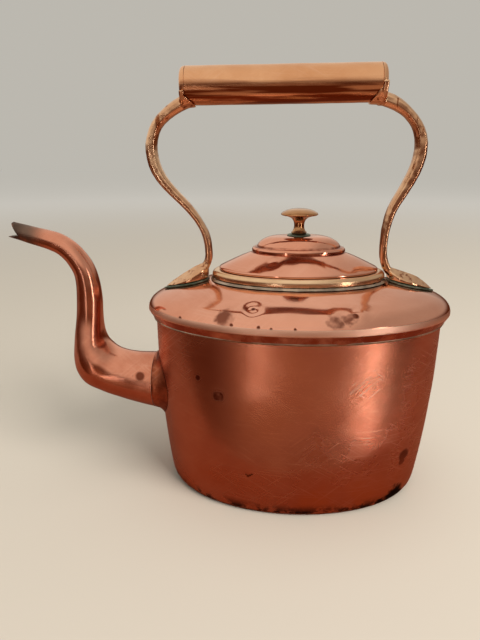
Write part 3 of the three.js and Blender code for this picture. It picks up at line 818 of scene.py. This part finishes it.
outer, bore = spout_rings(0), spout_rings(WALL)
spout = lofted("spout_swan_neck", outer + bore[::-1], tube_copper, wiped_tin)
wedge_mesh = bpy.data.meshes.new("beak_wedge")
wedge_points = [Vector((x, y, z)) / 1000 for y in (-20, 20) for x, z in BEAK_WEDGE]
wedge_count = len(BEAK_WEDGE)
wedge_sides = [(i, (i + 1) % wedge_count, wedge_count + (i + 1) % wedge_count, wedge_count + i)
               for i in range(wedge_count)]
wedge_ends = [tuple(range(wedge_count))[::-1], tuple(range(wedge_count, 2 * wedge_count))]
wedge_mesh.from_pydata(wedge_points, [], wedge_sides + wedge_ends)
wedge_shape = bmesh.new()
wedge_shape.from_mesh(wedge_mesh)
bmesh.ops.recalc_face_normals(wedge_shape, faces=wedge_shape.faces)
wedge_shape.to_mesh(wedge_mesh)
wedge_shape.free()
cut(spout, new_piece("beak_wedge", wedge_mesh))
seat(spout, "kettle", "spout_copper", "spout")


# ---- Spout flange ----
# A short copper collar brazed over the root of the spout. Its back edge is filed to the oval wall
# and turned out on to it, and a dark line of flux stays in the joint.

dark_copper = rubbed_metal("flux-stained copper", "#b9694a", "#6a3121", 0.26, 0.42, 0.008, 0.1)
FLANGE = [(0.0, 20.9), (0.12, 21.3), (0.3, 21.5), (0.5, 21.9), (0.72, 22.8), (0.88, 23.9), (1.0, 25)]
FLANGE_FRONT = -0.1033
FLANGE_INSIDE = 19.4


def wall_face(y, z):
    """Where the outer face of the wall is, on the spout's side."""
    heights = [p[1] / 1000 for p in WALL_OUTLINE]
    i = next(n for n, height in enumerate(heights) if height > z)
    share = (z - heights[i - 1]) / (heights[i] - heights[i - 1])
    half_length = (WALL_OUTLINE[i - 1][0] * (1 - share) + WALL_OUTLINE[i][0] * share) / 1000
    return -half_length * math.sqrt(1 - (y / (OVAL * half_length)) ** 2) - GAP


def flange_rings():
    made = []
    outside = flowing([(along, radius, 0) for along, radius in FLANGE], count=4)
    inside = [Vector((p.x, FLANGE_INSIDE, 0)) for p in outside[::-2]]
    for along, radius, _ in outside + inside:
        ring = []
        for s in range(96):
            turn = math.tau * s / 96
            y, z = radius / 1000 * math.sin(turn), SPOUT_HEIGHT + radius / 1000 * math.cos(turn)
            ring.append((FLANGE_FRONT + (wall_face(y, z) - FLANGE_FRONT) * along, y, z))
        made.append(ring)
    return made


flange = lofted("spout_flange", flange_rings(), dark_copper)
flange.data.set_sharp_from_angle(angle=math.radians(38))
seat(flange, "kettle", "spout_copper", "spout_collar")


# ---- Grip ----
# A tube of coppery brass between the uprights, closed by two dished caps. Its top is golden, and its
# underside is painted brown as a painted reflection of the dark tabletop below, with lighter streaks where
# a cloth was drawn along it.

GRIP_RADIUS = 11.4
GRIP_LENGTH = 127.2
GRIP_CENTRE = (-0.0137, 0, 0.2782)
GRIP_RISE = 1
CAP_LENGTH = 3.6
grip_frame = Matrix.Translation(GRIP_CENTRE) @ Matrix.Rotation(
    math.pi / 2 - math.atan(GRIP_RISE / GRIP_LENGTH), 4, "Y")

hand_brass = rubbed_metal("hand-worn coppery brass", "#f3c096", "#dfa478", 0.16, 0.24, 0.04, 0.15)


def grip_marks(material):
    tree, place, axes = object_place(material)
    # Painted reflection: the lower half is darkened to brown in streaks, standing in for the dark tabletop
    # it mirrors.
    painted_dark_underside = between(tree, axes["Z"], 0.2815, 0.275)
    along = add_node(tree, "ShaderNodeMapping", {
        "Vector": place, "Scale": (0.05, 0.004, 0.0022)}, vector_type="TEXTURE").outputs[0]
    streaks = add_node(tree, "ShaderNodeTexNoise", {
        "Vector": along, "Scale": 1.0, "Detail": 3.0}).outputs[0]
    brown = between(tree, streaks, 0.62, 0.42)
    stain_and_painted_light(material, product(tree, painted_dark_underside, brown), "#7c3c1e", 0.3)
    spots = noisy(tree, place, 0.0022, detail=5.0, low=0.66, high=0.74)
    upper = between(tree, axes["Z"], 0.279, 0.284)
    patchy = noisy(tree, place, 0.02, low=0.5, high=0.6)
    stain_and_painted_light(material, product(tree, spots, upper, patchy), "#8c5232", 0.36)


grip_marks(hand_brass)


def on_grip(name, profile, material, **how):
    """A round piece turned about the grip's axis. Its profile is (radius, distance along the grip)."""
    piece = turned(name, in_metres(profile), material, ratio=1, sides=96, **how)
    piece.data.transform(grip_frame)
    return piece


grip_end = GRIP_LENGTH / 2 - CAP_LENGTH
grip = on_grip("grip_sleeve", [
    (GRIP_RADIUS - 1.2, -grip_end)] + [
    (GRIP_RADIUS, -grip_end + 2 * grip_end * i / 40) for i in range(41)] + [
    (GRIP_RADIUS - 1.2, grip_end)], hand_brass)
lumpy(grip, 0.00012, 0.014)
seat(grip, "kettle", "grip_brass", "grip_tube")

face = GRIP_LENGTH / 2
shoulder_at = face - CAP_LENGTH + 0.3
spigot = GRIP_RADIUS - 1.5
for side_name, side in (("left", -1), ("right", 1)):
    cap = on_grip(f"grip_cap_{side_name}_disc", [(radius, side * along) for radius, along in [
        (0, face), (8.2, face), (9.3, face - 0.15), (10.2, face - 0.6), (10.9, face - 1.3),
        (11.25, face - 2.1), (GRIP_RADIUS, shoulder_at), (spigot, shoulder_at), (spigot, face - 9),
        (spigot - 1.2, face - 9), (spigot - 1.2, face - 2.6), (7.4, face - 1.2), (0, face - 1.2),
    ]], hand_brass)
    seat(cap, "kettle", "grip_brass", f"grip_cap_{side_name}")


# ---- Uprights ----
# Two brass castings, each an S-shaped arm with a saddle that cradles the grip and a leaf-shaped
# foot. They were filed by hand, so soft facets run along them, and pits from the sand still show.

cast_brass = rubbed_metal("filed cast brass", "#f1cba6", "#d3a07a", 0.13, 0.21, 0.02, 0.1, 0.000003)


def brass_marks(material):
    tree, place, _ = object_place(material)
    pits = add_node(tree, "ShaderNodeTexNoise", {
        "Vector": place, "Scale": 620.0, "Detail": 4.0, "Roughness": 0.6}).outputs[0]
    pitted = product(tree, between(tree, pits, 0.62, 0.7), noisy(tree, place, 0.008, low=0.5, high=0.62))
    stain_and_painted_light(material, pitted, "#3a2418", 0.55)
    long_way = add_node(tree, "ShaderNodeMapping", {
        "Vector": place, "Scale": (0.003, 0.003, 0.035)}, vector_type="TEXTURE").outputs[0]
    drawn = add_node(tree, "ShaderNodeTexNoise", {
        "Vector": long_way, "Scale": 1.0, "Detail": 4.0}).outputs[0]
    stain_and_painted_light(material, between(tree, drawn, 0.57, 0.68), "#9a5e3c", 0.28)


brass_marks(cast_brass)


def cast_copy(name, node, material, voxel, passes):
    """A smooth casting in the shape of a CAD node: a merged copy, remeshed and relaxed."""
    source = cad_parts[node].data
    mesh = source.copy()
    mesh.name = name
    shape = bmesh.new()
    shape.from_mesh(mesh)
    bmesh.ops.remove_doubles(shape, verts=shape.verts, dist=1e-6)
    shape.to_mesh(mesh)
    shape.free()
    mesh.materials.clear()
    mesh.materials.append(material)
    piece = new_piece(name, mesh)
    remesh = piece.modifiers.new("remesh", "REMESH")
    remesh.mode = "VOXEL"
    remesh.voxel_size = voxel
    remesh.use_smooth_shade = True
    relax = piece.modifiers.new("relax", "SMOOTH")
    relax.factor = 0.5
    relax.iterations = passes
    return settled(piece)


for side_name in ("left", "right"):
    node = f"upright_{side_name}"
    arm = cast_copy(f"{node}_casting", node, cast_brass, voxel=0.0004, passes=14)
    lumpy(arm, 0.0002, 0.011)
    arm.data.set_sharp_from_angle(angle=math.radians(80))
    seat(arm, "kettle", "handle_brass", node)


# ---- Solder and verdigris under the feet ----
# Each foot is bedded in soft solder, which has squeezed out round it and gone green in the damp.

green_solder = rubbed_metal("weathered soft solder", "#8f9a8c", "#566a5c", 0.38, 0.6, 0.003, 0, 0.0002)
for side_name in ("left", "right"):
    node = f"foot_solder_{side_name}"
    bed = cast_copy(f"{node}_bed", node, green_solder, voxel=0.0003, passes=2)
    lumpy(bed, 0.00022, 0.0022)
    seat(bed, "kettle", "solder", node)


# ---- Rivets ----
# Four copper rivets, two for each foot, driven up from inside the shoulder. Their heads were tinned
# with the rest of the inside.

def rivet_tree():
    """Geometry Nodes that put one rivet on each point, turned as its attribute says."""
    tree = bpy.data.node_groups.new("rivets on points", "GeometryNodeTree")
    for name, kind in (("Places", "NodeSocketGeometry"), ("Rivet", "NodeSocketObject"),
                       ("Size", "NodeSocketFloat"), ("Metal", "NodeSocketMaterial")):
        tree.interface.new_socket(name, in_out="INPUT", socket_type=kind)
    tree.interface.new_socket("Rivets", in_out="OUTPUT", socket_type="NodeSocketGeometry")
    given = add_node(tree, "NodeGroupInput").outputs
    pattern = add_node(tree, "GeometryNodeObjectInfo", {"Object": given["Rivet"]}).outputs["Geometry"]
    tilt = add_node(tree, "GeometryNodeInputNamedAttribute", {
        "Name": "tilt"}, data_type="FLOAT_VECTOR").outputs["Attribute"]
    placed = add_node(tree, "GeometryNodeInstanceOnPoints", {
        "Points": given["Places"], "Instance": pattern, "Rotation": tilt, "Scale": given["Size"]})
    real = add_node(tree, "GeometryNodeRealizeInstances", {"Geometry": placed.outputs[0]}).outputs[0]
    finished = add_node(tree, "GeometryNodeSetMaterial", {
        "Geometry": real, "Material": given["Metal"]}).outputs[0]
    add_node(tree, "NodeGroupOutput", {"Rivets": finished})
    return tree


RIVET_TILT = math.radians(13)
rivet_pattern = turned("rivet_pattern", flowing(in_metres([
    (0, -3.4), (1.8, -3.2), (3.3, -2.6), (4, -1.8),
]), 0.0004)[:-1] + in_metres([(4, -1.8), (4, -1.5), (2, -1.5), (2, 3.2), (0, 3.2)]),
    wiped_tin, ratio=1, sides=32)
rivet_mesh = bpy.data.meshes.new("foot_rivets")
rivet_mesh.from_pydata([
    (sign * x, 0, z) for sign in (-1, 1) for x, z in ((0.0715, 0.15193), (0.081, 0.1498))], [], [])
rivet_mesh.attributes.new("tilt", "FLOAT_VECTOR", "POINT").data.foreach_set(
    "vector", [v for sign in (-1, -1, 1, 1) for v in (0, sign * RIVET_TILT, 0)])
rivets = new_piece("foot_rivets", rivet_mesh)
rivet_modifier = rivets.modifiers.new("rivets", "NODES")
rivet_group = rivet_tree()
rivet_modifier.node_group = rivet_group
rivet_sockets = inputs_of(rivet_group)
rivet_modifier[rivet_sockets["Rivet"]] = rivet_pattern
rivet_modifier[rivet_sockets["Size"]] = 1.0
rivet_modifier[rivet_sockets["Metal"]] = wiped_tin
settled(rivets)
bpy.data.objects.remove(rivet_pattern)
seat(rivets, "kettle", "rivet_copper", "foot_rivet_left_inner", "foot_rivet_left_outer",
     "foot_rivet_right_inner", "foot_rivet_right_outer")


# ---- Lid ----
# A loose lid raised from one sheet: an oval dome with a stepped crown, and a ring inside that drops
# into the collar. It is as bright as the shoulder, and a little dented round the edge.

LID_SHEET = 0.001
lid_copper = rubbed_metal("mirror-polished lid copper", "#eeb097", "#dd987d", 0.05, 0.11, 0.05, 0.12)


def lid_marks(material):
    tree, place, axes = object_place(material)
    # The oxide stays in the two grooves that run round the crown.
    for bottom, low, high, top in ((0.1729, 0.1734, 0.1742, 0.1749), (0.1766, 0.177, 0.1778, 0.1786)):
        groove = product(tree, between(tree, axes["Z"], bottom, low), between(tree, axes["Z"], top, high))
        stain_and_painted_light(material, product(tree, groove, noisy(tree, place, 0.006, low=0.3, high=0.6)), "#8d4f3a", 0.3)
    spots = round_marks(tree, place, [
        ((-0.022, -0.021, 0.168), 0.0011), ((0.004, -0.018, 0.1745), 0.0012),
        ((0.03, 0.012, 0.17), 0.001)], ragged=0.001)
    stain_and_painted_light(material, spots, "#6e3826", 0.35)


lid_marks(lid_copper)

LID_EDGE = [(54.2, 161.8), (54.5, 162.6), (54, 163.4)]
LID_SLOPE = [(54, 163.4), (50.5, 165.2), (40.5, 169.9), (31.4, 173.6)]
LID_STEP = [(31.4, 173.6), (31.8, 174.8), (31.4, 176.2), (30.2, 177), (28.4, 177.2)]
LID_CROWN = [(28.4, 177.2), (27.9, 178.4), (26, 180.6), (21, 183.3), (15, 184.4), (2.6, 184.4)]
lid_points = (
    flowing(in_metres(LID_EDGE), 0.0003)[:-1] + flowing(in_metres(LID_SLOPE), 0.001)[:-1]
    + flowing(in_metres(LID_STEP), 0.0003)[:-1] + flowing(in_metres(LID_CROWN), 0.0006)
)
lid_profile, inner_start = sheet(lid_points, LID_SHEET)
lid = turned("lid_dome_sheet", lid_profile, lid_copper, wiped_tin, inner_start, sides=256)


def lid_keep(point):
    """The lid stays true where it meets the collar and under the knob."""
    reach = math.hypot(point.x, point.y / OVAL)
    return min(1, max(0, (0.053 - reach) / 0.006)) * min(1, max(0, (reach - 0.008) / 0.008))


worked(lid, 0.00022, 0.018, [((-0.018, -0.022, 0.168), 0.008, 0.0003)], lid_keep)
seat(lid, "lid", "shoulder_copper", "lid_dome")

skirt = turned("lid_skirt_ring", in_metres([
    (52, 150.4), (52, 162.5), (52, 163, 0.9), (52, 150.4, 0.9)]), scaled_copper, sides=224)
seat(skirt, "lid", "base_copper", "lid_skirt")


# ---- Knob ----
# A mushroom turned from a brass bar, its tang pushed through a thin washer and the lid and peened
# over a second washer inside. The washer outside has corroded grey-green.

LID_TOP = 184.4
KNOB_BASE = 185.8
knob_brass = rubbed_metal("turned yellow brass", "#dfae7e", "#a8764e", 0.06, 0.12, 0.02, 0)


def knob_marks(material):
    tree, place, axes = object_place(material)
    foot = between(tree, axes["Z"], 0.1905, 0.186)
    stain_and_painted_light(material, product(tree, foot, noisy(tree, place, 0.0025, low=0.35, high=0.6)), "#6a4a34", 0.4)


knob_marks(knob_brass)
knob = turned("knob_mushroom", in_metres([
    (0, LID_TOP - 3.3), (2, LID_TOP - 3.3), (2, KNOB_BASE), (4.9, KNOB_BASE),
]) + flowing(in_metres([(radius, KNOB_BASE + up) for radius, up in [
    (4.9, 0), (5.3, 0.8), (4.5, 1.7), (3.7, 3.2), (3.4, 5.6), (3.8, 8), (5.4, 10.2), (8.6, 11.6),
    (11.9, 12.3), (12.5, 12.9), (12.1, 13.7), (10.2, 14.9), (7.2, 16), (3.6, 16.6), (0, 16.7),
]]), 0.0004)[1:], knob_brass, ratio=1, sides=96)
seat(knob, "lid", "knob_brass", "knob")

rosette = turned("knob_rosette_washer", in_metres([
    (2.3, 184.7), (8, 184.7), (7.9, 185), (7.4, 185.25), (5, 185.5), (2.3, 185.5),
]), green_solder, ratio=1, sides=96)
lumpy(rosette, 0.0001, 0.002)
seat(rosette, "lid", "solder", "knob_rosette")

burr_top = LID_TOP - 1.3
burr = turned("knob_burr_washer", in_metres([
    (2.3, burr_top), (4.9, burr_top), (5.2, burr_top - 0.2), (5.2, burr_top - 0.8),
    (4.9, burr_top - 1), (2.3, burr_top - 1),
]), cast_brass, ratio=1, sides=64)
seat(burr, "lid", "knob_brass", "knob_burr")
